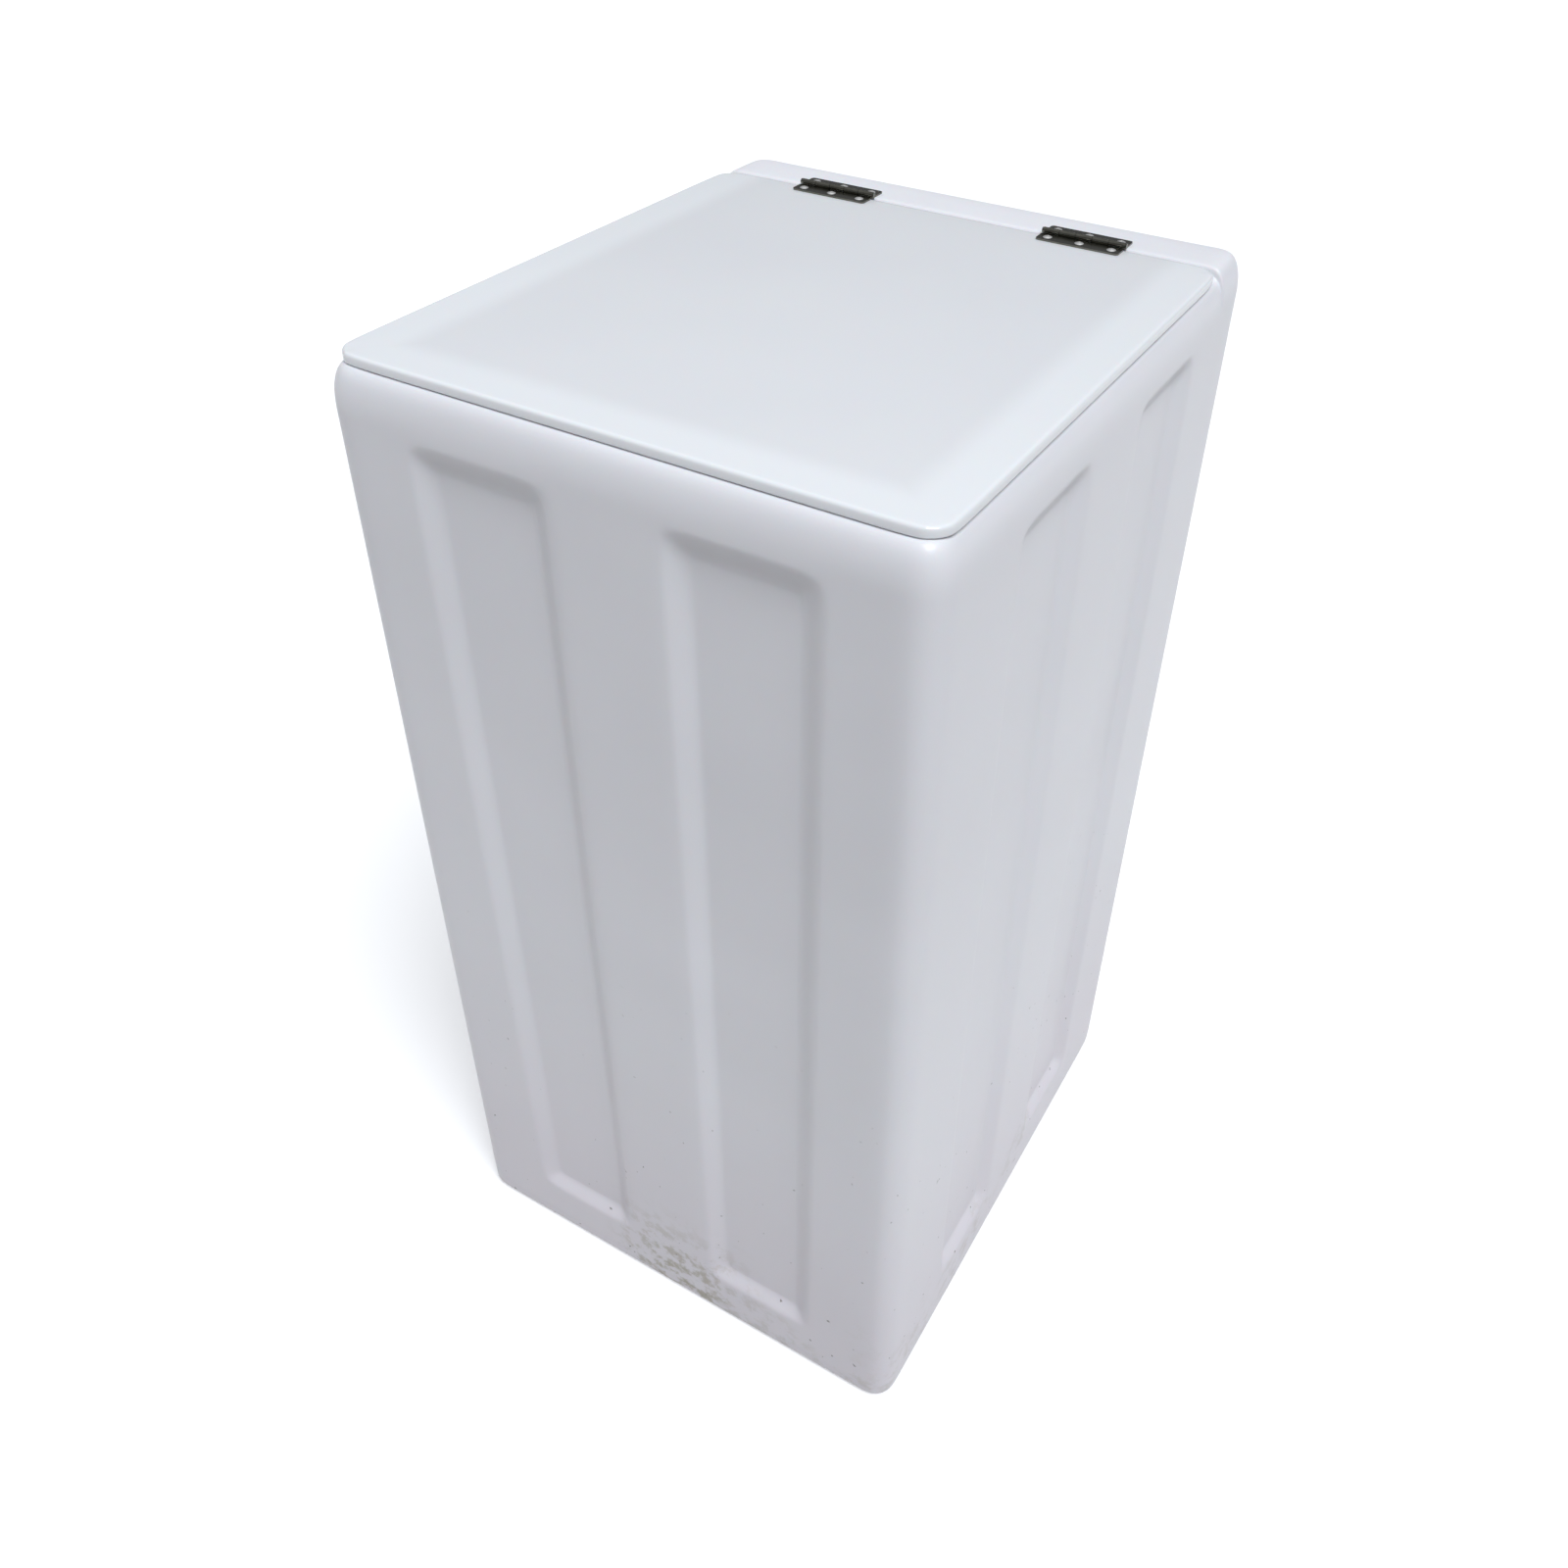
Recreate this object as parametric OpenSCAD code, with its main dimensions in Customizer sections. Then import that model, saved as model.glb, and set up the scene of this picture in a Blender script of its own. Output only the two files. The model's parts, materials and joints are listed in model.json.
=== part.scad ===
// Laundry hamper: a tall rotationally moulded bin, a flat lid that rests on its flange,
// and two butt hinges that bolt the lid to the fixed strip along the back.
// Millimetres. +Z is up, -Y is the front, and the origin is the middle of the base.

/* [Bin] */
// Width across the side walls, just below the rim
body_w = 500; // [420:5:620]
// Depth from the front wall to the back wall, just below the rim
body_d = 588; // [500:1:740]
// Height of the flange that the lid rests on
body_h = 1018; // [820:1:1250]
// How far each side wall has leaned out when it reaches the base
side_flare = 20; // [0:1:30]
// How far the front and the back wall have leaned out at the base
front_flare = 2; // [0:1:30]
// Thickness of the moulded wall
wall = 5; // [4:0.5:6]
// Radius of the upright corners
corner_r = 24; // [20:1:34]
// Width of the shoulder round the top
rim_r = 14; // [10:1:19]
// Height of the shoulder round the top
rim_h = 30; // [14:1:40]
// Radius of the edge round the base
base_r = 10; // [8:1:16]

/* [Mouth and rear strip] */
// Width of the flange, from the outside of the wall to the mouth
flange_w = 48; // [38:1:60]
// Radius of the mouth's corners
mouth_r = 22; // [8:1:40]
// Depth of the fixed strip, from the outside of the back wall to the hinge line
strip_d = 64; // [55:1:90]
// Drop of the lip that stiffens the front of the strip
lip_h = 26; // [16:1:50]

/* [Recesses] */
// Width of one recess at the surface of the wall
recess_w = 122; // [80:1:130]
// Distance between the centres of a wall's two recesses
recess_pitch = 222; // [180:1:230]
// Depth of a recess
recess_depth = 9; // [4:0.5:12]
// Width of the sloping side of a recess
recess_slope = 16; // [8:1:20]
// Corner radius of a recess
recess_r = 18; // [15:1:30]
// From the flange down to the top of a recess
recess_top = 42; // [35:1:80]
// From the ground up to the foot of a recess
recess_foot = 71; // [50:1:140]
// How far the recesses of the front and back walls lean outwards, in degrees
recess_lean = 0.3; // [0:0.1:1.5]

/* [Lid] */
// Thickness of the lid
lid_t = 7; // [6:0.5:12]
// From the outside of the side wall to the edge of the lid
lid_side_inset = 7; // [3:0.5:12]
// From the outside of the front wall to the edge of the lid
lid_front_inset = 11; // [4:0.5:14]
// Radius of the lid's front corners, seen from above
lid_corner_r = 22; // [10:1:34]
// Radius of the lid's top edge
lid_edge_r = 3; // [1.5:0.5:4]
// Gap between the closed lid and the flange
seat_gap = 0.5; // [0.3:0.1:1]
// Gap between the lid and the strip, under the hinges
rear_gap = 2; // [1:0.5:3]

/* [Hinges] */
// Distance between the centres of the two hinges
hinge_pitch = 243; // [180:1:300]
// Length of a hinge
hinge_l = 75; // [65:1:100]
// Width of one leaf, from the pin's axis
leaf_w = 19.2; // [17:0.1:25]
// Thickness of a leaf
leaf_t = 1.4; // [1.2:0.1:1.5]
// Outside radius of the knuckles
knuckle_r = 2.5; // [2.4:0.1:3.4]
// Radius of the hinge pin
pin_r = 1.3; // [1:0.05:1.5]
// Running clearance between the pin and the knuckles
pin_play = 0.05; // [0.02:0.01:0.08]
// Air between one knuckle and the next
knuckle_gap = 0.4; // [0.3:0.1:1]
// Air between the knuckles and the plastic below them
knuckle_lift = 0.3; // [0.3:0.1:1]

/* [Fasteners] */
// Distance between one screw and the next along a leaf
screw_pitch = 29; // [24:0.5:32]
// Distance of the row of screws from the pin's axis
screw_row = 11.5; // [11:0.1:14]
// Radius of the screw's shank
screw_r = 2; // [1.5:0.25:2.25]
// Radius of the screw's head
head_r = 4; // [3.5:0.1:4.5]
// Rise of the domed head above the leaf
head_rise = 1.1; // [0.6:0.1:1.2]
// Thickness of a washer
washer_t = 0.8; // [0.5:0.1:1.2]
// Radius of a washer
washer_r = 4.5; // [4.2:0.1:4.8]
// Width across the flats of a nut
nut_af = 7; // [6:0.5:7.5]
// Height of a lock nut with its collar
nut_h = 5; // [4:0.5:6]
// Length of shank that shows beyond the nut
tail = 1.5; // [0.5:0.5:2]

/* [Hidden] */

$fn = 48;
LEFT = -1;              // side of a hinge, seen from the front
RIGHT = 1;
TO_LID = -1;            // side of a leaf: the lid is in front of the pin
TO_BODY = 1;            // and the strip is behind it
HULL_FN = 32;           // roundness of the corners inside a hull
SLICE_T = 0.01;         // thickness of a slice inside a hull
KNUCKLES = 5;           // the leaf on the body has the odd ones and both ends
SCREWS = 3;             // in each leaf
CUT = 1;                // how far a cutting shape runs past what it cuts
shank_play = 0.2;       // air round a shank in a plain hole
thread_play = 0.05;     // air between a shank and its nut
head_play = 0.05;       // air between a head and its countersink
plate_gap = 0.4;        // air between a leaf's plate and the other leaf's knuckles

rim_z = body_h - rim_h;                     // where the shoulder starts
top_z = body_h + seat_gap + lid_t;          // top of the lid and of the strip
pin_y = body_d / 2 - strip_d;
axis_h = knuckle_r + knuckle_lift;          // pin's axis above the plastic
pin_z = top_z + axis_h;
strip_front = pin_y + rear_gap / 2;
lid_back = pin_y - rear_gap / 2;
lid_w = body_w - 2 * lid_side_inset;
lid_front = -body_d / 2 + lid_front_inset;
recess_h = body_h - recess_top - recess_foot;
recess_z = recess_foot + recess_h / 2;
// A bend of a wall of even thickness is this much wider on its inside
bend_gain = wall * tan(atan(recess_depth / recess_slope) / 2);
knuckle_l = hinge_l / KNUCKLES;
bore_r = pin_r + pin_play;
steel = [0.62, 0.62, 0.60];
plastic = [0.88, 0.89, 0.93];

// How much of the flare a wall has at a height: 0 at the shoulder, 1 at the base
function lean(z) = (rim_z - z) / (rim_z - base_r);
function width_at(z) = body_w + 2 * side_flare * lean(z);
function depth_at(z) = body_d + 2 * front_flare * lean(z);

// Outline of a rectangle with round corners, centred on the origin
function round_rect(w, d, r, steps = 6) = [
    for (quarter = [0:3], i = [0:steps])
        let (
            a = 90 * (quarter + i / steps),
            sx = (quarter == 0 || quarter == 3) ? 1 : -1,
            sy = (quarter < 2) ? 1 : -1
        )
        [sx * (w / 2 - r) + r * cos(a), sy * (d / 2 - r) + r * sin(a)]
];

// Disc with a round top edge, as stands in each corner of the lid
module button(r, edge) {
    arc = [for (a = [0:15:90]) [r - edge + edge * cos(a), edge * sin(a)]];
    rotate_extrude($fn = HULL_FN)
        polygon(concat([[0, 0]], arc, [[0, edge]]));
}

module at_corners(w, d, r) {
    for (sx = [-1, 1], sy = [-1, 1])
        translate([sx * (w / 2 - r), sy * (d / 2 - r), 0])
            children();
}

// Thin slice of the bin's solid form. It takes the wall's lean from where the round edge starts.
module slice(edge_z, z, inset) {
    translate([0, 0, z])
        linear_extrude(height = SLICE_T)
            polygon(round_rect(
                width_at(edge_z) - 2 * inset,
                depth_at(edge_z) - 2 * inset,
                corner_r - inset
            ));
}

// The bin's solid form up to a height, shrunk all round by a thickness
module block(top, shrink) {
    shoulder_z = top - rim_h;
    hull()
        for (a = [0:15:90]) {
            slice(
                shoulder_z,
                shoulder_z + (rim_h - shrink) * sin(a) - SLICE_T,
                shrink + (rim_r - shrink) * (1 - cos(a))
            );
            slice(
                base_r,
                base_r - (base_r - shrink) * sin(a),
                shrink + (base_r - shrink) * (1 - cos(a))
            );
        }
}

// Keeps the part of a shape that is behind a plane
module behind(y) {
    span = body_w + body_d + body_h;
    intersection() {
        children();
        translate([-span / 2, y, -span / 2])
            cube([span, span, 2 * span]);
    }
}

// Block with sloping sides that sinks a recess into a wall. The wall is the XY plane.
module recess_pad(grow) {
    proud = 2;
    spread = 2 * recess_slope * proud / recess_depth;
    w = recess_w + 2 * grow;
    h = recess_h + 2 * grow;
    narrowing = [
        (w - 2 * recess_slope) / (w + spread),
        (h - 2 * recess_slope) / (h + spread)
    ];
    translate([0, 0, proud])
        mirror([0, 0, 1])
            linear_extrude(height = recess_depth + proud, slices = 1, scale = narrowing)
                polygon(round_rect(w + spread, h + spread, recess_r + grow));
}

// Puts a shape on each wall's two columns, sunk below the surface
module on_walls(sink) {
    for (side = [0:3], column = [-1, 1])
        let (
            is_end = side % 2 == 0,
            half = (is_end ? depth_at(recess_z) : width_at(recess_z)) / 2,
            tilt = atan((is_end ? front_flare : side_flare) / (rim_z - base_r)),
            slant = is_end ? recess_lean : 0
        )
        rotate([0, 0, 90 * side])
            translate([0, -half, recess_z])
                rotate([90 - tilt, 0, 0])
                    translate([column * recess_pitch / 2, 0, -sink])
                        rotate([0, 0, column * slant])
                            children();
}

// Space inside the bin. It leaves the wall even round the recesses, and a lip under the strip.
module hollow() {
    difference() {
        union() {
            block(body_h, wall);
            behind(strip_front + wall)
                block(top_z, wall);
        }
        on_walls(wall)
            recess_pad(bend_gain);
        translate([-body_w / 2, strip_front, top_z - lip_h])
            cube([body_w, wall, lip_h]);
    }
}

// Mouth in the flange. It ends at the strip.
module mouth() {
    mouth_w = body_w - 2 * flange_w;
    mouth_front = -body_d / 2 + flange_w;
    mouth_d = strip_front - mouth_front;
    translate([0, mouth_front + mouth_d / 2, body_h - wall - CUT])
        linear_extrude(height = wall + 2 * CUT)
            union() {
                polygon(round_rect(mouth_w, mouth_d, mouth_r));
                translate([-mouth_w / 2, 0])
                    square([mouth_w, mouth_d / 2]);
            }
}

// Repeats a shape at the screws of one leaf, in the hinge's own frame
module at_screws(side) {
    for (i = [0:SCREWS - 1])
        translate([(i - (SCREWS - 1) / 2) * screw_pitch, side * screw_row, -axis_h])
            children();
}

// Moves the hinge's own frame, with the pin along X, to one side of the object
module at_hinge(hand) {
    translate([hand * hinge_pitch / 2, pin_y, pin_z])
        children();
}

// Plain holes through a plate of plastic under one row of screws
module screw_holes(side, thickness) {
    for (hand = [LEFT, RIGHT])
        at_hinge(hand)
            at_screws(side)
                translate([0, 0, -thickness - CUT])
                    cylinder(r = screw_r + shank_play, h = thickness + 2 * CUT);
}

module bin_body() {
    color(plastic)
        difference() {
            union() {
                block(body_h, 0);
                behind(strip_front)
                    block(top_z, 0);
            }
            hollow();
            mouth();
            on_walls(0)
                recess_pad(0);
            screw_holes(TO_BODY, wall);
        }
}

module lid() {
    lid_d = lid_back - lid_front;
    color(plastic)
        difference() {
            translate([0, lid_front + lid_d / 2, body_h + seat_gap])
                hull() {
                    at_corners(lid_w, lid_d, lid_corner_r)
                        cylinder(r = lid_corner_r, h = lid_t / 2, $fn = HULL_FN);
                    translate([0, 0, lid_t - lid_edge_r])
                        at_corners(lid_w, lid_d, lid_corner_r)
                            button(lid_corner_r, lid_edge_r);
                }
            screw_holes(TO_LID, lid_t);
        }
}

// One leaf with its knuckles. first is 0 for the leaf that has both end knuckles, 1 for the other.
module leaf(hand, side, first) {
    plate_start = knuckle_r + plate_gap;
    plate_w = leaf_w - plate_start;
    corner = 3;
    color(steel)
        at_hinge(hand)
            difference() {
                union() {
                    translate([0, side * (plate_start + plate_w / 2), -axis_h])
                        linear_extrude(height = leaf_t)
                            polygon(round_rect(hinge_l, plate_w, corner));
                    for (i = [first:2:KNUCKLES - 1])
                        translate([-hinge_l / 2 + i * knuckle_l + knuckle_gap / 2, 0, 0])
                            knuckle(side, plate_start + corner);
                }
                rotate([0, 90, 0])
                    cylinder(r = bore_r, h = hinge_l + 2 * CUT, center = true);
                at_screws(side) {
                    translate([0, 0, -CUT])
                        cylinder(r = screw_r + shank_play, h = leaf_t + 2 * CUT);
                    cylinder(r1 = screw_r + shank_play, r2 = head_r + head_play, h = leaf_t);
                    translate([0, 0, leaf_t])
                        cylinder(r = head_r + head_play, h = CUT);
                }
            }
}

// Round knuckle and the tab that joins it to its leaf
module knuckle(side, reach) {
    length = knuckle_l - knuckle_gap;
    rotate([0, 90, 0])
        cylinder(r = knuckle_r, h = length);
    translate([0, side > 0 ? 0 : -reach, -axis_h])
        cube([length, reach, leaf_t]);
}

// Pin with a domed head pressed up at each end
module hinge_pin(hand) {
    head = 1;
    overhang = 0.9;
    color(steel)
        at_hinge(hand)
            rotate([0, 90, 0]) {
                cylinder(r = pin_r, h = hinge_l, center = true);
                for (end = [-1, 1])
                    translate([0, 0, end * (hinge_l + head) / 2])
                        cylinder(r = pin_r + overhang, h = head, center = true);
            }
}

// Raised countersunk screws that go right through a plate of plastic
module screws(hand, side, thickness) {
    dome_r = (head_r * head_r + head_rise * head_rise) / (2 * head_rise);
    shank = thickness + washer_t + nut_h + tail;
    color(steel)
        at_hinge(hand)
            at_screws(side) {
                difference() {
                    union() {
                        translate([0, 0, -shank])
                            cylinder(r = screw_r, h = shank + leaf_t);
                        cylinder(r1 = screw_r, r2 = head_r, h = leaf_t);
                        translate([0, 0, leaf_t])
                            intersection() {
                                translate([0, 0, head_rise - dome_r])
                                    sphere(r = dome_r);
                                cylinder(r = head_r, h = head_rise);
                            }
                    }
                    driver_cross();
                }
            }
}

// Cross that the screwdriver turns
module driver_cross() {
    arm = 0.8 * head_r;
    slot = 0.9;
    deep = 1;
    for (turn = [0, 90])
        rotate([0, 0, turn])
            translate([-arm / 2, -slot / 2, leaf_t + head_rise - deep])
                cube([arm, slot, 2 * deep]);
}

module washers(hand, side, thickness) {
    color(steel)
        at_hinge(hand)
            at_screws(side)
                translate([0, 0, -thickness - washer_t])
                    difference() {
                        cylinder(r = washer_r, h = washer_t);
                        translate([0, 0, -CUT])
                            cylinder(r = screw_r + shank_play, h = washer_t + 2 * CUT);
                    }
}

// Hexagon lock nuts with the round collar that holds their nylon ring
module nuts(hand, side, thickness) {
    hex_h = 0.7 * nut_h;
    collar_r = nut_af / 2 - 0.3;
    color(steel)
        at_hinge(hand)
            at_screws(side)
                translate([0, 0, -thickness - washer_t - nut_h])
                    difference() {
                        union() {
                            translate([0, 0, nut_h - hex_h])
                                cylinder(r = nut_af / sqrt(3), h = hex_h, $fn = 6);
                            cylinder(r = collar_r, h = nut_h);
                        }
                        translate([0, 0, -CUT])
                            cylinder(r = screw_r + thread_play, h = nut_h + 2 * CUT);
                    }
}

bin_body();
lid();
leaf(LEFT, TO_BODY, 0);  // left_hinge_body_leaf
leaf(LEFT, TO_LID, 1);  // left_hinge_lid_leaf
hinge_pin(LEFT);  // left_hinge_pin
screws(LEFT, TO_BODY, wall);  // left_hinge_body_screws
screws(LEFT, TO_LID, lid_t);  // left_hinge_lid_screws
washers(LEFT, TO_BODY, wall);  // left_hinge_body_washers
washers(LEFT, TO_LID, lid_t);  // left_hinge_lid_washers
nuts(LEFT, TO_BODY, wall);  // left_hinge_body_nuts
nuts(LEFT, TO_LID, lid_t);  // left_hinge_lid_nuts
leaf(RIGHT, TO_BODY, 0);  // right_hinge_body_leaf
leaf(RIGHT, TO_LID, 1);  // right_hinge_lid_leaf
hinge_pin(RIGHT);  // right_hinge_pin
screws(RIGHT, TO_BODY, wall);  // right_hinge_body_screws
screws(RIGHT, TO_LID, lid_t);  // right_hinge_lid_screws
washers(RIGHT, TO_BODY, wall);  // right_hinge_body_washers
washers(RIGHT, TO_LID, lid_t);  // right_hinge_lid_washers
nuts(RIGHT, TO_BODY, wall);  // right_hinge_body_nuts
nuts(RIGHT, TO_LID, lid_t);  // right_hinge_lid_nuts
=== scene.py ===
# %% [markdown]
# # A moulded laundry hamper with a hinged lid
#
# The hamper is a tall white plastic bin, moulded in one piece, with a flat lid that two steel
# butt hinges hold to a fixed strip along the back. This notebook builds its looks around a packed
# CAD model. The CAD model gives the sizes and the places, and everything here is in metres.

# %% Load the CAD model
import json
import math

import bmesh
import bpy
from mathutils import Matrix, Vector


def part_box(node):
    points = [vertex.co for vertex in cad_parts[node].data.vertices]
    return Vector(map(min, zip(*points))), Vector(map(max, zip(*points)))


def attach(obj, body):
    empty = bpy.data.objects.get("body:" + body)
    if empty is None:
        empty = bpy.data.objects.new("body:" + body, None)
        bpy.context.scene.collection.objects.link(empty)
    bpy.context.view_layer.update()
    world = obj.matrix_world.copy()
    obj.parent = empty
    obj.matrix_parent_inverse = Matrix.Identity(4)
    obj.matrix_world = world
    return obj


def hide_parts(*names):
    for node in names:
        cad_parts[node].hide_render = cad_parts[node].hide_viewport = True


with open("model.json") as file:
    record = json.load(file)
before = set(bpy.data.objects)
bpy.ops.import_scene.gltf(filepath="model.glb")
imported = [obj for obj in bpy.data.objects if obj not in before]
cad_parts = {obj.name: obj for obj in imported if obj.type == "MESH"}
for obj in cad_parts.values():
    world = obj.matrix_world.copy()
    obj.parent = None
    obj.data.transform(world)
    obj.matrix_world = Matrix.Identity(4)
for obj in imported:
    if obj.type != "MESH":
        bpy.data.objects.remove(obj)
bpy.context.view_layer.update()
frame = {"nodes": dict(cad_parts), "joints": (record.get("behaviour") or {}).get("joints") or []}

# %% [markdown]
# ## Sizes
#
# Most places come from the CAD nodes' boxes: the outside of the bin, the lid, and the hinge line.
# The sizes that a box can't tell, such as a radius or the depth of a recess, are repeated here
# under the names that the CAD source gives them.

# %% Read the sizes from the frame
bin_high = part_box("bin_body")[1]
lid_low, lid_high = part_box("lid")
pin = Vector(frame["joints"][0]["pos_m"])

SIDE_FLARE, FRONT_FLARE = 0.020, 0.002
WALL = 0.005
CORNER_R, BASE_R = 0.024, 0.010
RIM_R, RIM_H = 0.014, 0.030
SEAT_GAP, REAR_GAP = 0.0005, 0.002
FLANGE_W, LIP_H = 0.048, 0.026
RECESS_W, RECESS_PITCH = 0.122, 0.222
RECESS_DEPTH, RECESS_SLOPE = 0.009, 0.016
RECESS_TOP, RECESS_FOOT = 0.042, 0.071
RECESS_LEAN = math.radians(0.3)
LID_CORNER_R, LID_EDGE_R = 0.022, 0.003

flange_z = lid_low.z - SEAT_GAP
rim_z = flange_z - RIM_H
strip_y = pin.y + REAR_GAP / 2
rim_w = 2 * (bin_high.x - SIDE_FLARE)
rim_d = 2 * (bin_high.y - FRONT_FLARE)
mouth_x = rim_w / 2 - FLANGE_W
mouth_y = -rim_d / 2 + FLANGE_W


def lean(z):
    """Share of the flare that a wall has at a height: 0 at the shoulder, 1 at the base."""
    return (rim_z - z) / (rim_z - BASE_R)


def half_width(z):
    return rim_w / 2 + SIDE_FLARE * lean(z)


def half_depth(z):
    return rim_d / 2 + FRONT_FLARE * lean(z)


print(f"rim {rim_w:.3f} x {rim_d:.3f} m, flange at {flange_z:.4f}, strip from y {strip_y:.4f}")

# %% [markdown]
# ## Camera, floor and light
#
# The camera stands at the front right, 1.4 m above the ground, and looks down on the lid. The shift
# moves the view without turning the camera. The room is plain: a pale floor, one wide soft sun from
# high at the front right, two weaker fills from behind and from the left, and a grey surround. The
# surround stays dim so that polished steel has something dark to mirror, and only the camera sees
# it as white.

# %% Place the camera
EYE = Vector((0.5199, -0.9120, 1.4126))
HEADING, LOOK_DOWN, ROLL = math.radians(29.425), math.radians(41.077), math.radians(1.499)
SENSOR_W, LENS = 36, 30.91           # millimetres
SHIFT_X, SHIFT_Y = -0.0222, 0.0151   # shares of the image's width

camera_data = bpy.data.cameras.new("camera")
camera_data.sensor_width = SENSOR_W
camera_data.lens = LENS
camera_data.shift_x = SHIFT_X
camera_data.shift_y = SHIFT_Y
camera = bpy.data.objects.new("camera", camera_data)
bpy.context.collection.objects.link(camera)
turn = (
    Matrix.Rotation(HEADING, 4, "Z")
    @ Matrix.Rotation(math.pi / 2 - LOOK_DOWN, 4, "X")
    @ Matrix.Rotation(ROLL, 4, "Z")
)
camera.matrix_world = Matrix.Translation(EYE) @ turn
bpy.context.scene.camera = camera
print("camera at", [round(c, 3) for c in EYE])

# %% Put up the lights
SUN_FROM = Vector((0.40, -0.27, 0.87))
BACK_FROM = Vector((-0.60, 0.78, 0.12))
LEFT_FROM = Vector((-0.90, -0.25, 0.10))
SUN_POWER, BACK_POWER, LEFT_POWER = 2.75, 0.9, 0.35
SUN_WIDTH, FILL_WIDTH = 30, 50       # degrees of sky
DAYLIGHT, PLAIN_WHITE = (0.93, 0.96, 1.0), (1.0, 1.0, 1.0)


def hang_sun(name, direction, energy, width, colour):
    """A sun lamp whose light comes from a direction, as wide in the sky as an angle in degrees."""
    lamp = bpy.data.lights.new(name, "SUN")
    lamp.energy, lamp.angle, lamp.color = energy, math.radians(width), colour
    holder = bpy.data.objects.new(name, lamp)
    holder.rotation_mode = "QUATERNION"
    holder.rotation_quaternion = (-direction).to_track_quat("-Z", "Y")
    bpy.context.collection.objects.link(holder)
    return holder


hang_sun("soft_sun", SUN_FROM, SUN_POWER, SUN_WIDTH, DAYLIGHT)
for fill in (
    hang_sun("back_fill", BACK_FROM, BACK_POWER, FILL_WIDTH, PLAIN_WHITE),
    hang_sun("left_fill", LEFT_FROM, LEFT_POWER, FILL_WIDTH, PLAIN_WHITE),
):
    fill.visible_glossy = False      # or its reflection would whiten the lid
print("sun from", [round(c, 3) for c in SUN_FROM])

# %% Build the surround
BACKDROP = (0.97, 0.97, 0.97, 1)
UNDERFOOT, OVERHEAD = (0.52, 0.505, 0.51, 1), (0.47, 0.48, 0.50, 1)
GREYS = ((0.49, 0.30), (0.52, 0.15), (0.70, 0.18))   # height from 0, underfoot, to 1, and shade
GREEN_TINT, BLUE_TINT = 1.02, 1.08

world = bpy.data.worlds.new("surround")
world.use_nodes = True
bpy.context.scene.world = world
sky = world.node_tree.nodes
coordinate = sky.new("ShaderNodeTexCoord")
split = sky.new("ShaderNodeSeparateXYZ")
height = sky.new("ShaderNodeMapRange")
height.inputs["From Min"].default_value = -1
ramp = sky.new("ShaderNodeValToRGB")
wire = world.node_tree.links.new
wire(coordinate.outputs["Generated"], split.inputs[0])
wire(split.outputs["Z"], height.inputs["Value"])
wire(height.outputs["Result"], ramp.inputs["Fac"])
rays = sky.new("ShaderNodeLightPath")
backdrop = sky.new("ShaderNodeMix")
backdrop.data_type = "RGBA"
shades = [s for s in backdrop.inputs if s.type == "RGBA"]
wire(rays.outputs["Is Camera Ray"], backdrop.inputs[0])
wire(ramp.outputs["Color"], shades[0])
shades[1].default_value = BACKDROP
seen = next(s for s in backdrop.outputs if s.type == "RGBA")
wire(seen, sky["Background"].inputs["Color"])
stops = ramp.color_ramp.elements
stops[0].position, stops[0].color = 0.0, UNDERFOOT
stops[1].position, stops[1].color = 1.0, OVERHEAD
for place, shade in GREYS:
    stop = stops.new(place)
    stop.color = (shade, shade * GREEN_TINT, shade * BLUE_TINT, 1)
sky["Background"].inputs["Strength"].default_value = 1.0
bpy.context.scene.view_settings.view_transform = "Standard"
print("surround has", len(stops), "greys")

# %% [markdown]
# ## Modelling helpers
#
# Every piece starts as a primitive, and is shaped in edit mode by the same operators that a person
# would use. An operator acts on what is selected, so each step first picks its faces or edges by
# their place. The helpers below do the picking and the planes that slice a cage into a grid.


# %% Define the modelling helpers
NEAR = 1e-5          # two places this close count as one


def deselect():
    """Leaves edit mode and selects nothing."""
    if bpy.context.object and bpy.context.object.mode != "OBJECT":
        bpy.ops.object.mode_set(mode="OBJECT")
    bpy.ops.object.select_all(action="DESELECT")


def new_box(name, low, high):
    """A cube primitive with its corners at low and high, left in edit mode."""
    deselect()
    low, high = Vector(low), Vector(high)
    bpy.ops.mesh.primitive_cube_add(size=1, location=(low + high) / 2)
    piece = bpy.context.object
    piece.name = name
    piece.scale = high - low
    bpy.ops.object.transform_apply(location=True, rotation=True, scale=True)
    bpy.ops.object.mode_set(mode="EDIT")
    return piece


def pick(piece, kind, test):
    """Selects the faces, edges or verts for which test says yes, and nothing else."""
    bpy.ops.mesh.select_mode(type={"faces": "FACE", "edges": "EDGE", "verts": "VERT"}[kind])
    bpy.ops.mesh.select_all(action="DESELECT")
    mesh = bmesh.from_edit_mesh(piece.data)
    count = 0
    for item in getattr(mesh, kind):
        if test(item):
            item.select_set(True)
            count += 1
    mesh.select_flush_mode()
    bmesh.update_edit_mesh(piece.data)
    return count


def slice_at(axis, place, slant=0.0, pivot_z=0.0):
    """Cuts the whole cage by a plane across an axis. A slanted plane turns about a height."""
    normal = [0.0, 0.0, 0.0]
    normal["xyz".index(axis)] = 1.0
    normal[2] += math.tan(slant)
    point = [0.0, 0.0, pivot_z]
    point["xyz".index(axis)] = place
    bpy.ops.mesh.select_all(action="SELECT")
    bpy.ops.mesh.bisect(plane_co=point, plane_no=normal)


def middle_of(edge):
    return (edge.verts[0].co + edge.verts[1].co) / 2


def flat_at(edge, z):
    """True for an edge that lies level at a height."""
    return all(abs(v.co.z - z) < NEAR for v in edge.verts)


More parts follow.
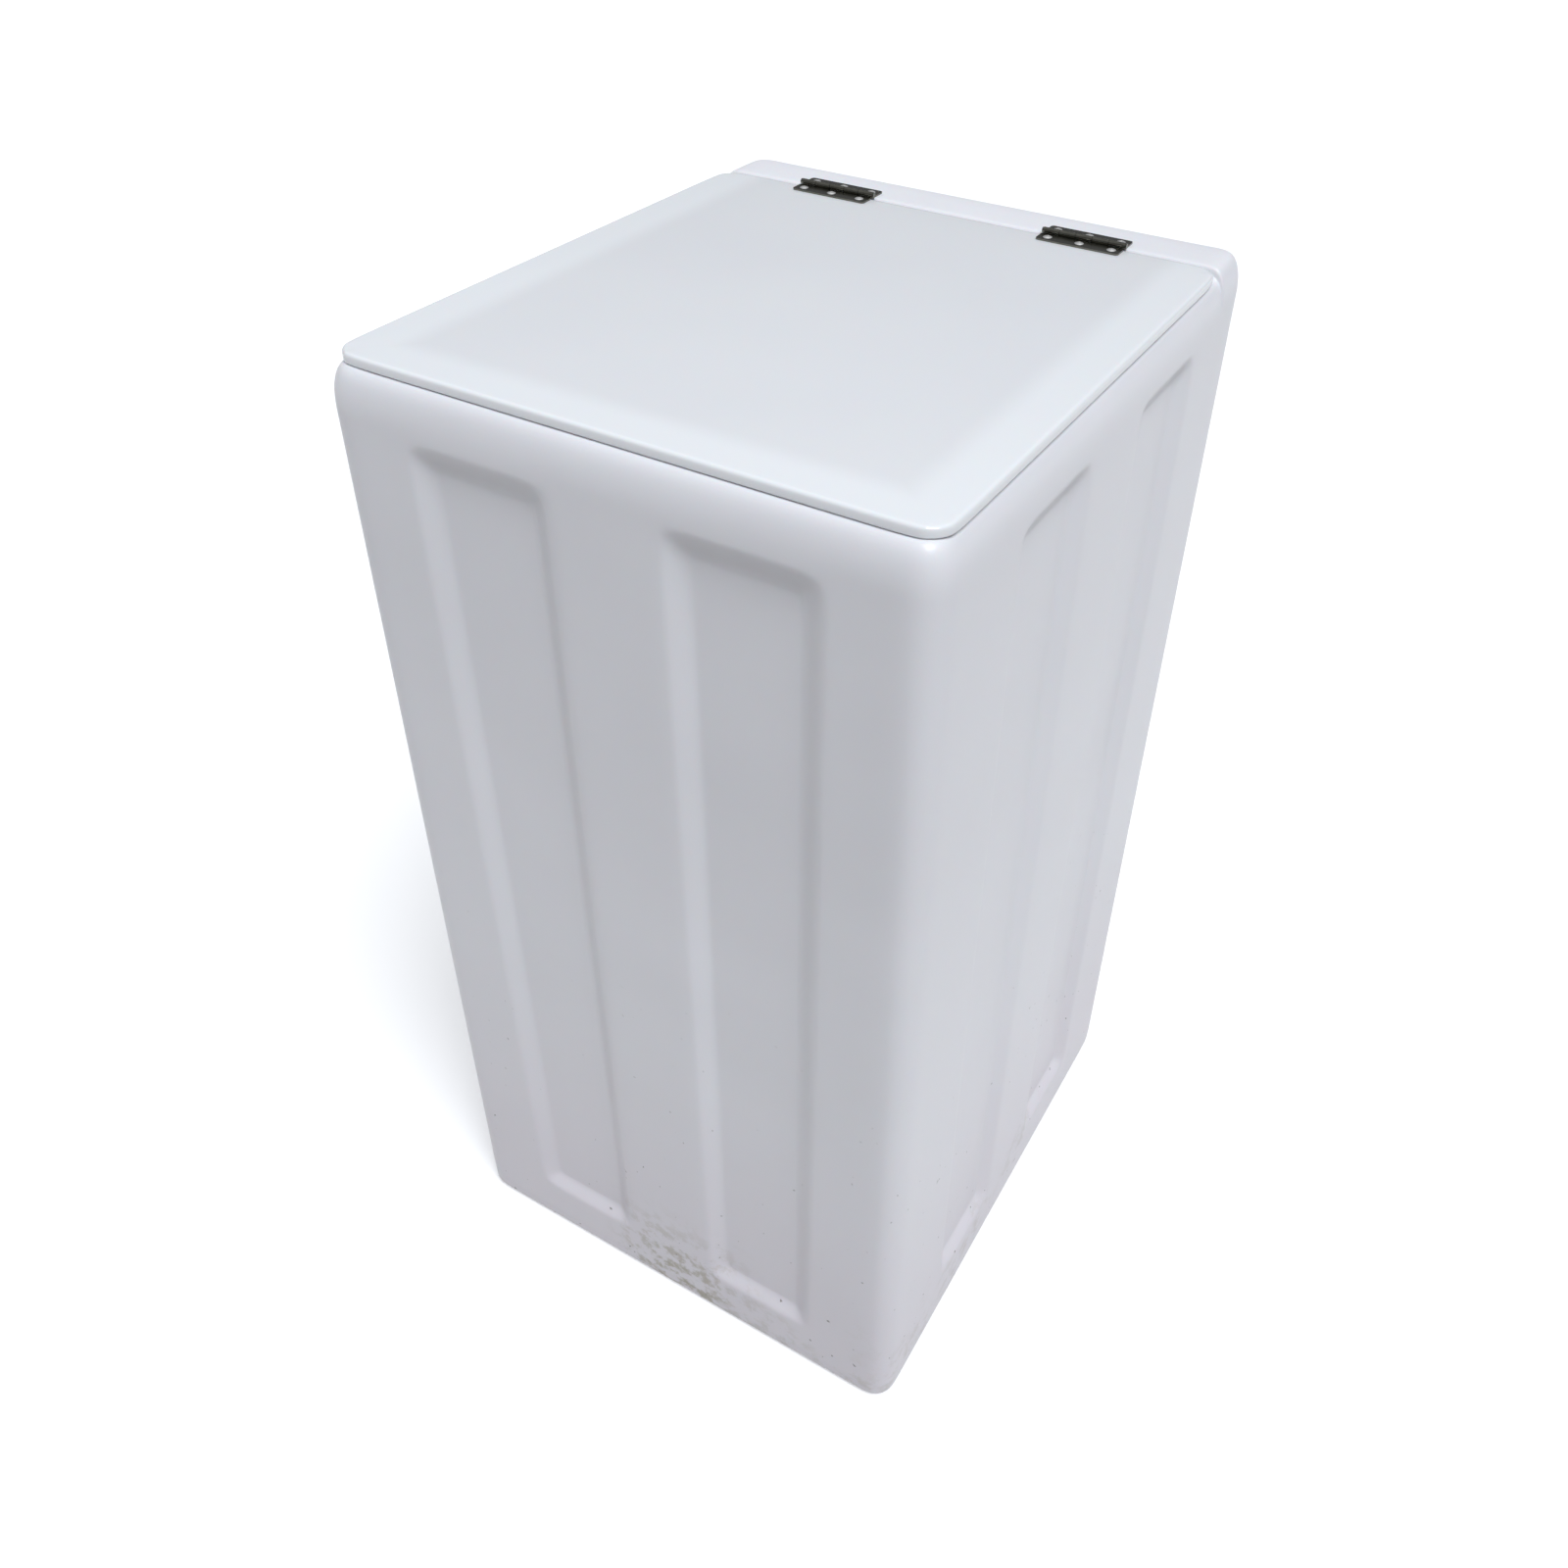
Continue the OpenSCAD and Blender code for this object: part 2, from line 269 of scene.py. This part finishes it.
def finish_mesh(piece, *modifiers):
    """Adds modifiers, applies them in order and shades the piece smooth."""
    bpy.ops.object.mode_set(mode="OBJECT")
    for kind, settings in modifiers:
        modifier = piece.modifiers.new(kind.lower(), kind)
        for key, value in settings.items():
            setattr(modifier, key, value)
        bpy.ops.object.modifier_apply(modifier=modifier.name)
    bpy.ops.object.shade_smooth()
    print(piece.name, "has", sum(len(p.vertices) - 2 for p in piece.data.polygons), "triangles")


print("helpers ready")

# %% [markdown]
# ## The moulded bin: cage
#
# A rotationally moulded bin has one even wall, and every edge is soft, because melted plastic
# won't fill a sharp corner. Boolean cuts would leave hard edges here. So the bin is a box of quads
# whose upright corners, shoulder and base are bevelled, and which is then sliced into a grid where
# the recesses, the mouth and the strip need their edges. A subdivision surface rounds it all.

# %% Start the bin as a tapered box with round edges
bin_shell = new_box("bin_shell", (-0.5, -0.5, 0), (0.5, 0.5, flange_z))
for level in (0, flange_z):
    pick(bin_shell, "faces", lambda f: abs(f.calc_center_median().z - level) < NEAR)
    bpy.ops.transform.resize(
        value=(2 * half_width(level), 2 * half_depth(level), 1), center_override=(0, 0, level)
    )

pick(bin_shell, "edges", lambda e: abs(e.verts[0].co.z - e.verts[1].co.z) > flange_z / 2)
bpy.ops.mesh.bevel(offset=CORNER_R, segments=4, affect="EDGES")
pick(bin_shell, "edges", lambda e: flat_at(e, flange_z))
bpy.ops.mesh.bevel(offset=RIM_R, segments=4, affect="EDGES")
pick(bin_shell, "verts", lambda v: v.co.z > flange_z - RIM_R - 1e-4)
bpy.ops.transform.resize(value=(1, 1, RIM_H / RIM_R), center_override=(0, 0, flange_z))
pick(bin_shell, "edges", lambda e: flat_at(e, 0))
bpy.ops.mesh.bevel(offset=BASE_R, segments=3, affect="EDGES")
print("cage faces:", len(bmesh.from_edit_mesh(bin_shell.data).faces))

# %% Slice the box into a grid
HOLD = 0.005         # distance of a loop that keeps an edge from spreading
LOOSE_HOLD = 0.010   # the same round the mouth, whose edge is softer
TIGHT_HOLD = 0.0015  # the same where the strip steps up, or the flange would rise into the lid
CORNER_HOLD = 0.028  # the same along a recess, which leaves its corners round
ROWS = 5             # faces from the foot of a recess to its top
recess_high = flange_z - RECESS_TOP
recess_mid = (recess_high + RECESS_FOOT) / 2

for side in (-1, 1):
    for edge in (-1, 1):
        for reach in (RECESS_W / 2 + HOLD, RECESS_W / 2 - CORNER_HOLD):
            place = side * RECESS_PITCH / 2 + edge * reach
            slice_at("x", place, side * RECESS_LEAN, recess_mid)
            slice_at("y", place)
    slice_at("x", side * mouth_x)
    slice_at("x", side * (mouth_x + LOOSE_HOLD))
for place in (mouth_y, mouth_y - LOOSE_HOLD, strip_y - TIGHT_HOLD, strip_y, strip_y + HOLD):
    slice_at("y", place)
low_row, high_row = RECESS_FOOT - HOLD, recess_high + HOLD
for place in (low_row, high_row):
    slice_at("z", place)
low_turn, high_turn = RECESS_FOOT + CORNER_HOLD, recess_high - CORNER_HOLD
for i in range(ROWS + 1):
    slice_at("z", low_turn + (high_turn - low_turn) * i / ROWS)
print("cage faces:", len(bmesh.from_edit_mesh(bin_shell.data).faces))

# %% [markdown]
# ## The moulded bin: strip, mouth and recesses
#
# The strip along the back stands as high as the closed lid, so its shoulder and top are extruded
# upwards together. The mouth is cut out of the flange, and its back edge is extruded down as a
# stiffening lip. A recess is a block of faces that is inset three times: level, then sloping
# inwards, then level again, so that both its edges have a loop on either side.

# %% Raise the strip and open the mouth
strip_rise = bin_high.z - flange_z
pick(
    bin_shell,
    "faces",
    lambda f: f.calc_center_median().y > strip_y and f.calc_center_median().z > rim_z + 1e-4,
)
bpy.ops.mesh.extrude_region_move(TRANSFORM_OT_translate={"value": (0, 0, strip_rise)})


def in_mouth(face):
    c = face.calc_center_median()
    return abs(c.z - flange_z) < NEAR and abs(c.x) < mouth_x and mouth_y < c.y < strip_y


pick(bin_shell, "faces", in_mouth)
bpy.ops.mesh.delete(type="FACE")


def back_of_mouth(edge):
    c = middle_of(edge)
    return edge.is_boundary and abs(c.y - strip_y) < NEAR and abs(c.x) < mouth_x


pick(bin_shell, "edges", back_of_mouth)
bpy.ops.mesh.extrude_region_move(TRANSFORM_OT_translate={"value": (0, 0, strip_rise - LIP_H)})
print("open edges:", pick(bin_shell, "edges", lambda e: e.is_boundary))


# %% Sink the recesses
def in_recess(face, axis, side, column):
    """True for the wall faces inside one column. axis is the wall's normal: 0 for X, 1 for Y."""
    c = face.calc_center_median()
    if abs(face.normal[axis]) < 0.9 or face.normal[axis] * side < 0:
        return False
    if not low_row < c.z < high_row:
        return False
    along = c[1 - axis]
    if axis == 1:
        along += column * math.tan(RECESS_LEAN) * (c.z - recess_mid)
    return abs(along - column * RECESS_PITCH / 2) < RECESS_W / 2


for axis in (0, 1):
    for side in (-1, 1):
        for column in (-1, 1):
            pick(bin_shell, "faces", lambda f: in_recess(f, axis, side, column))
            bpy.ops.mesh.inset(thickness=HOLD, depth=0)
            bpy.ops.mesh.inset(thickness=RECESS_SLOPE, depth=-RECESS_DEPTH)
            bpy.ops.mesh.inset(thickness=HOLD, depth=0)
print("cage faces:", len(bmesh.from_edit_mesh(bin_shell.data).faces))

# %% Give the bin its wall and round it
finish_mesh(
    bin_shell,
    ("SOLIDIFY", {"thickness": WALL, "offset": -1, "use_even_offset": True}),
    ("SUBSURF", {"levels": 2, "render_levels": 2}),
)
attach(bin_shell, "bin")
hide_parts("bin_body")

# %% [markdown]
# ## The lid
#
# The lid is a flat plastic panel. Its corners are round seen from above, its top edge is soft to
# the hand, and its lower edge is only just broken. It has sagged until it almost rests on the
# flange, and along the front and the sides its edge turns down a little more, over the shoulder.
# It is sliced into a coarse grid so that the subdivision surface stays even across it.

# %% Model the lid
SAG = 0.0004                         # how far the underside is below the CAD lid's
LOWER_EDGE_R = LID_EDGE_R / 8
LIP_IN, LIP_DROP = 0.004, 0.0005     # width and depth of the turned-down edge
LID_CELLS = 6
under_z = lid_low.z - SAG

lid_panel = new_box("lid_panel", lid_low - Vector((0, 0, SAG)), lid_high)
pick(lid_panel, "edges", lambda e: abs(e.verts[0].co.z - e.verts[1].co.z) > 1e-4)
bpy.ops.mesh.bevel(offset=LID_CORNER_R, segments=4, affect="EDGES")
pick(lid_panel, "edges", lambda e: flat_at(e, lid_high.z))
bpy.ops.mesh.bevel(offset=LID_EDGE_R, segments=3, affect="EDGES")
pick(lid_panel, "edges", lambda e: flat_at(e, under_z))
bpy.ops.mesh.bevel(offset=LOWER_EDGE_R, segments=2, affect="EDGES")
for i in range(1, LID_CELLS):
    slice_at("x", lid_low.x + (lid_high.x - lid_low.x) * i / LID_CELLS)
    slice_at("y", lid_low.y + (lid_high.y - lid_low.y) * i / LID_CELLS)
for place in (lid_low.x + LIP_IN, lid_high.x - LIP_IN):
    slice_at("x", place)
slice_at("y", lid_low.y + LIP_IN)


def under_edge(v):
    at_edge = abs(v.co.x) > lid_high.x - LIP_IN + NEAR or v.co.y < lid_low.y + LIP_IN - NEAR
    return at_edge and v.co.z < under_z + NEAR


pick(lid_panel, "verts", under_edge)
bpy.ops.transform.translate(value=(0, 0, -LIP_DROP))
finish_mesh(lid_panel, ("SUBSURF", {"levels": 2, "render_levels": 2}))
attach(lid_panel, "lid_assembly")
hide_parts("lid")

# %% Lay the floor
FLOOR_W = 24
deselect()
bpy.ops.mesh.primitive_plane_add(size=FLOOR_W, location=(0, 0, 0))
floor = bpy.context.object
floor.name = "floor"
floor.visible_diffuse = False

# %% [markdown]
# ## Shader maths
#
# A small class wraps a node's output, so that a formula in Python adds the Math nodes that it
# needs. Any other node comes from one method, which sets the node's settings first and then its
# sockets.


# %% Define the shader helpers
class Socket:
    """An output in a material, with the arithmetic that the formulas below use."""

    def __init__(self, paint, output):
        self.paint, self.output = paint, output

    def _math(self, operation, *values):
        settings = {"operation": operation}
        return self.paint.node("ShaderNodeMath", settings, dict(enumerate(values)))["Value"]

    def __add__(self, other):
        return self._math("ADD", self, other)

    def __radd__(self, other):
        return self._math("ADD", other, self)

    def __sub__(self, other):
        return self._math("SUBTRACT", self, other)

    def __rsub__(self, other):
        return self._math("SUBTRACT", other, self)

    def __mul__(self, other):
        return self._math("MULTIPLY", self, other)

    def __rmul__(self, other):
        return self._math("MULTIPLY", other, self)

    def __abs__(self):
        return self._math("ABSOLUTE", self)

    def most(self, other):
        """The greater of the two."""
        return self._math("MAXIMUM", self, other)

    def ramp(self, low, high):
        """0 below low, 1 above high, and smooth between."""
        settings = {"interpolation_type": "SMOOTHSTEP"}
        values = {"Value": self, "From Min": low, "From Max": high}
        return self.paint.node("ShaderNodeMapRange", settings, values)["Result"]


class Paint:
    """A material whose nodes are made by name, with one Principled shader."""

    def __init__(self, name):
        self.material = bpy.data.materials.new(name)
        self.material.use_nodes = True
        self.tree = self.material.node_tree
        self.shader = self.tree.nodes["Principled BSDF"]

    def node(self, kind, settings=None, values=None):
        """Adds a node, sets its settings, then its sockets, and gives its outputs by name."""
        made = self.tree.nodes.new(kind)
        for key, value in (settings or {}).items():
            setattr(made, key, value)
        for key, value in (values or {}).items():
            self.put(made.inputs[key], value)
        return {out.name: Socket(self, out) for out in made.outputs}

    def put(self, target, value):
        if isinstance(value, Socket):
            self.tree.links.new(value.output, target)
        else:
            target.default_value = value

    def set(self, **values):
        """Sets sockets of the shader. Names are written with _ for a space."""
        for key, value in values.items():
            self.put(self.shader.inputs[key.replace("_", " ")], value)
        return self

    def place(self):
        """The point on the piece in metres, and its three coordinates."""
        at = self.node("ShaderNodeTexCoord")["Object"]
        split = self.node("ShaderNodeSeparateXYZ", values={"Vector": at})
        return at, split["X"], split["Y"], split["Z"]

    def noise(self, at, scale, detail=2.0, roughness=0.5, stretch=(1, 1, 1)):
        """Soft noise from 0 to 1. scale is in cells for each metre."""
        if stretch != (1, 1, 1):
            at = self.node("ShaderNodeMapping", values={"Vector": at, "Scale": stretch})["Vector"]
        values = {"Vector": at, "Scale": scale, "Detail": detail, "Roughness": roughness}
        return self.node("ShaderNodeTexNoise", values=values)["Fac"]

    def mix(self, factor, first, second):
        """Mixes two colours."""
        made = self.tree.nodes.new("ShaderNodeMix")
        made.data_type = "RGBA"
        colours = [s for s in made.inputs if s.type == "RGBA"]
        self.put(made.inputs[0], factor)
        self.put(colours[0], first)
        self.put(colours[1], second)
        return Socket(self, next(s for s in made.outputs if s.type == "RGBA"))

    def bump(self, height, distance, strength=1.0, before=None):
        """Raises the surface by height times distance, in metres."""
        values = {"Height": height, "Distance": distance, "Strength": strength}
        if before is not None:
            values["Normal"] = before
        return self.node("ShaderNodeBump", values=values)["Normal"]


def coat_all(paint, *pieces):
    """Gives pieces one material in their first slot."""
    for piece in pieces:
        if not piece.data.materials:
            piece.data.materials.append(paint.material)
        for i in range(len(piece.data.materials)):
            piece.data.materials[i] = paint.material
    print(paint.material.name, "on", len(pieces), "pieces")


# %% [markdown]
# ## White moulded plastic
#
# Natural polyethylene is milky: light goes a few millimetres in and comes back, so edges glow a
# little. Its skin copies the mould, with a fine orange-peel grain and slow waves where the wall
# cooled unevenly. Its colour is painted darker towards the ground, a painted shade. A patch of dirt
# sits on the foot of the front wall between the recesses, with a trace of it near the ground all
# round, and small dark flecks are spread over the lower walls.

# %% Make the bin's plastic
PATCH_X = 0.01                       # middle of the dirty patch
PATCH_CORE, PATCH_EDGE = 0.02, 0.11  # half of its width where it is thickest, and where it ends
PATCH_LOW, PATCH_HIGH = 0.015, 0.17  # the heights between which it fades
PATCH_FRONT, PATCH_BACK = -0.285, -0.27  # the y between which it ends, behind the front wall
GROUND_SHADE_HEIGHT = 0.5                    # the plastic's colour is painted darker below this, a painted shade
DIRT, FLECK = (0.42, 0.39, 0.30, 1), (0.16, 0.15, 0.13, 1)

bin_plastic = Paint("milky_plastic")
at, x, y, z = bin_plastic.place()
cloud = bin_plastic.noise(at, 5, 3)
fresh = bin_plastic.mix(cloud, (0.76, 0.76, 0.79, 1), (0.82, 0.82, 0.85, 1))
# Painted shade: the plastic's colour is darkened towards the ground, in place of the shade near the
# floor.
painted_ground_shade = 1 - z.ramp(0.0, GROUND_SHADE_HEIGHT)
milk_with_painted_light = bin_plastic.mix(painted_ground_shade, fresh, (0.70, 0.67, 0.71, 1))
near_ground = 1 - z.ramp(PATCH_LOW, PATCH_HIGH)
between_recesses = 1 - abs(x - PATCH_X).ramp(PATCH_CORE, PATCH_EDGE)
on_front = 1 - y.ramp(PATCH_FRONT, PATCH_BACK)
grime_spots = bin_plastic.noise(at, 62, 8, 0.66).ramp(0.46, 0.62)
patch = between_recesses * on_front * near_ground
stray = bin_plastic.noise(at, 9, 2).ramp(0.50, 0.66) * near_ground * 0.35
grime = grime_spots * patch.most(stray) * 0.85
flecks = bin_plastic.noise(at, 150, 1).ramp(0.76, 0.80) * (1 - z.ramp(0.1, 0.6)) * 0.8
soiled = bin_plastic.mix(grime, milk_with_painted_light, DIRT)
specked = bin_plastic.mix(flecks, soiled, FLECK)
waves = bin_plastic.bump(bin_plastic.noise(at, 4, 1), 0.006)
peel = bin_plastic.bump(bin_plastic.noise(at, 420, 2), 0.00008, 0.6, waves)
bin_plastic.set(
    Base_Color=specked,
    Roughness=0.30 + cloud * 0.10 + grime * 0.4,
    Normal=peel,
    IOR=1.5,
    Subsurface_Weight=0.12,
    Subsurface_Scale=0.006,
)
coat_all(bin_plastic, bin_shell)

# %% Make the lid's plastic
lid_plastic = Paint("glossy_lid_plastic")
at, x, y, _ = lid_plastic.place()
# Painted light: the lid's colour is painted lighter over the flange and darker over the open mouth,
# in place of the light that the milky plastic lets through.
painted_glow_side = abs(x).ramp(mouth_x - 0.012, mouth_x + 0.014)
painted_glow_front = 1 - y.ramp(mouth_y - 0.014, mouth_y + 0.012)
painted_glow_mask = painted_glow_side.most(painted_glow_front)
cloud = lid_plastic.noise(at, 4, 2)
centre = lid_plastic.mix(cloud, (0.73, 0.74, 0.77, 1), (0.78, 0.79, 0.80, 1))
milk_with_painted_light = lid_plastic.mix(painted_glow_mask, centre, (0.82, 0.84, 0.86, 1))
scratches = lid_plastic.noise(at, 30, 6, 0.7, (1, 14, 1)).ramp(0.55, 0.8)
waves = lid_plastic.bump(lid_plastic.noise(at, 3.5, 1), 0.003)
lid_plastic.set(
    Base_Color=milk_with_painted_light,
    Roughness=0.13 + scratches * 0.10 + cloud * 0.05,
    Normal=waves,
    IOR=1.5,
    Subsurface_Weight=0.10,
    Subsurface_Scale=0.006,
    Coat_Weight=0.25,
    Coat_Roughness=0.06,
)
coat_all(lid_plastic, lid_panel)

# %% [markdown]
# ## Steel
#
# The hinges are polished stainless steel that has dulled outdoors: dark where it mirrors the room,
# bright on the domed screw heads. The washers and nuts under the plastic are zinc plated.


# %% Make the steels
def steel(name, dull, bright, low_rough, high_rough):
    """A metal whose colour and gloss vary between two values, with fine brushing."""
    paint = Paint(name)
    at = paint.place()[0]
    stain = paint.noise(at, 120, 4)
    brushing = paint.noise(at, 900, 3, 0.6, (0.05, 1, 1))
    paint.set(
        Base_Color=paint.mix(stain, (*dull, 1), (*bright, 1)),
        Metallic=1.0,
        Roughness=low_rough + stain * (high_rough - low_rough),
        Normal=paint.bump(brushing, 0.00002, 0.5),
    )
    return paint


polished_steel = steel("mirror_stainless", (0.12, 0.12, 0.10), (0.26, 0.25, 0.21), 0.12, 0.26)
screw_steel = steel("bright_screw_steel", (0.88, 0.87, 0.85), (0.95, 0.95, 0.93), 0.42, 0.50)
zinc_steel = steel("zinc_plate", (0.55, 0.57, 0.60), (0.66, 0.68, 0.70), 0.28, 0.42)


def nodes_with(*endings):
    return [o for n, o in frame["nodes"].items() if n.endswith(endings)]


coat_all(polished_steel, *nodes_with("leaf", "pin"))
coat_all(screw_steel, *nodes_with("screws"))
coat_all(zinc_steel, *nodes_with("washers", "nuts"))

# %% Paint the floor
floor_paint = Paint("pale_floor")
at = floor_paint.place()[0]
tone = floor_paint.noise(at, 2, 2)
floor_paint.set(
    Base_Color=floor_paint.mix(tone, (0.92, 0.92, 0.92, 1), (0.94, 0.94, 0.94, 1)),
    Roughness=0.9,
    Emission_Color=(1, 1, 1, 1),
    Emission_Strength=0.10,
)
coat_all(floor_paint, floor)

# %% [markdown]
# ## Finish
#
# The script leaves edit mode and selects nothing.

# %% Finish
deselect()
